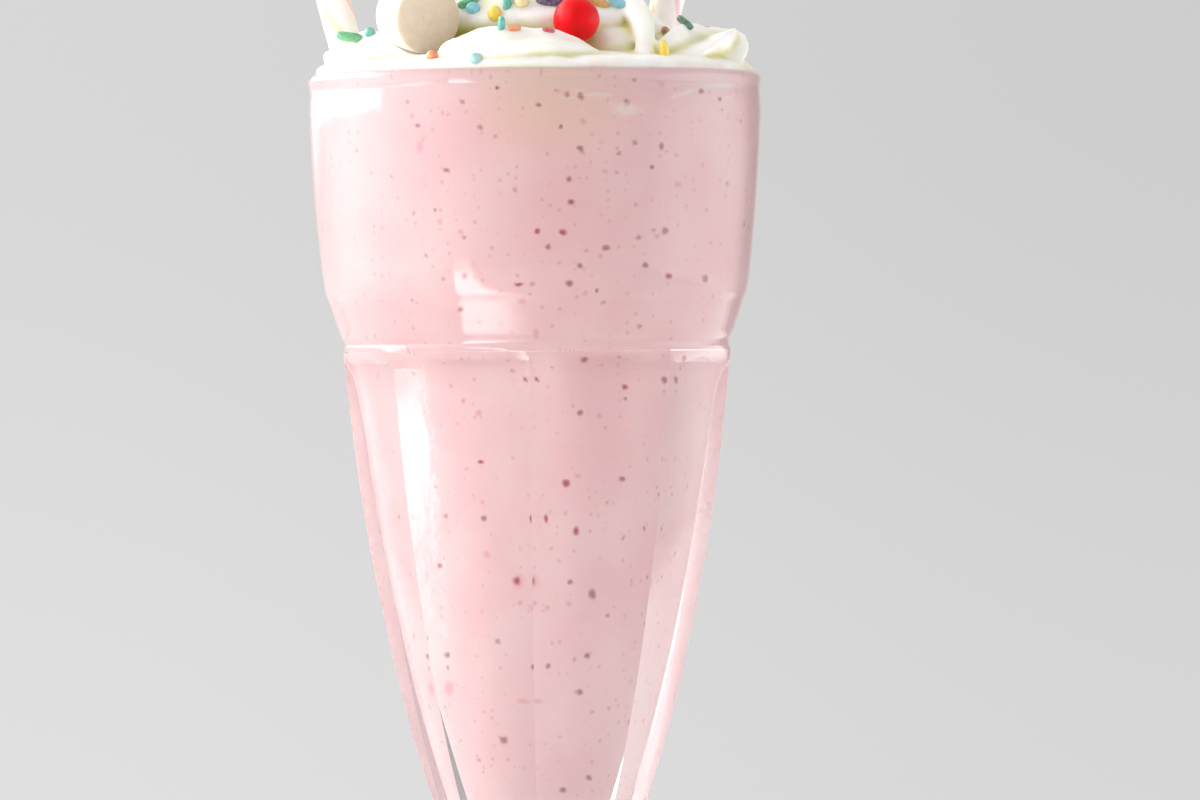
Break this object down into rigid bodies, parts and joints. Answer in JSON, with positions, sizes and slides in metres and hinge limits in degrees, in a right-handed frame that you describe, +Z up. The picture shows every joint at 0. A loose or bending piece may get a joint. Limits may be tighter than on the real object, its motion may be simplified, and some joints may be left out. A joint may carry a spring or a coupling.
{
  "type": "milkshake",
  "caption": "Strawberry milkshake in a footed, panelled soda glass, topped with whipped cream, sprinkles, a marshmallow, a candy ball and paper straws.",
  "frame": {"origin": "middle of the flat underside of the glass's foot", "axes": "+Z up, along the glass; -Y is the side seen in front; +X is the viewer's right"},
  "size_m": [0.0961, 0.0842, 0.2568],
  "materials": {
    "clear_glass": "clear pressed glass, smooth and glossy",
    "strawberry_shake": "opaque pale pink shake with fine red fruit specks",
    "whipped_cream": "soft satin whipped cream with coloured sprinkles",
    "marshmallow": "powdery matt marshmallow",
    "red_candy": "glossy sugar shell",
    "striped_paper": "matt white paper with pale pink and cream spiral stripes"
  },
  "bodies": {
    "root": {"glass": "clear_glass", "milkshake": "strawberry_shake", "whipped_cream": "whipped_cream", "marshmallow": "marshmallow", "red_candy": "red_candy", "straw_left": "striped_paper", "straw_right": "striped_paper"}
  },
  "joints": []
}
